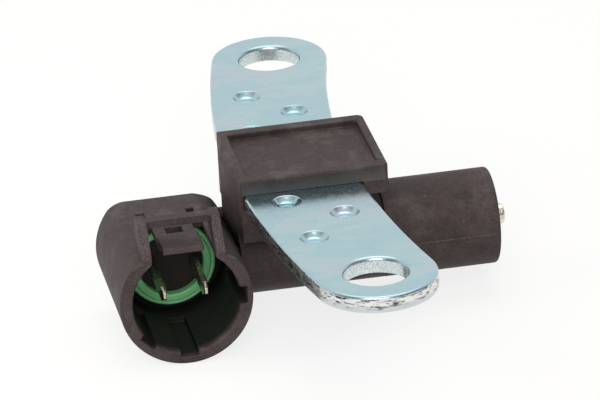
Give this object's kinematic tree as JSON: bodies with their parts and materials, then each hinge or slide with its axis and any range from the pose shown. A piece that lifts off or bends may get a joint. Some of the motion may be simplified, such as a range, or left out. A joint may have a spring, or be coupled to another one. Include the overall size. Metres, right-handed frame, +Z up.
{
  "type": "crankshaft position sensor",
  "caption": "Inductive crankshaft position sensor: moulded body with a round nose and side plug socket, overmoulded on a curved steel strip with bolt holes.",
  "frame": {"origin": "midway between the two bolt holes, on the underside of the mounting strip", "axes": "+X along the nose towards the pole pin, +Y along the strip away from the socket's mouth, +Z up, normal to the strip"},
  "size_m": [0.0553, 0.09, 0.0222],
  "materials": {
    "zinc_steel": "bright zinc plate with a faint blue tint",
    "housing_plastic": "glass-filled, dull, brown black",
    "seal_rubber": "satin green silicone",
    "carrier_plastic": "black",
    "terminal_metal": "tin plated",
    "bobbin_plastic": "natural",
    "copper_wire": "enamelled",
    "tape": "polyester film",
    "pole_steel": "ground",
    "magnet_alloy": "sintered"
  },
  "bodies": {
    "root": {"mounting_strip": "zinc_steel", "housing": "housing_plastic", "connector_seal": "seal_rubber", "terminal_carrier": "carrier_plastic", "terminal_left": "terminal_metal", "terminal_right": "terminal_metal", "coil_bobbin": "bobbin_plastic", "coil_winding": "copper_wire", "winding_tape": "tape", "pole_pin": "pole_steel", "bias_magnet": "magnet_alloy"}
  },
  "joints": []
}
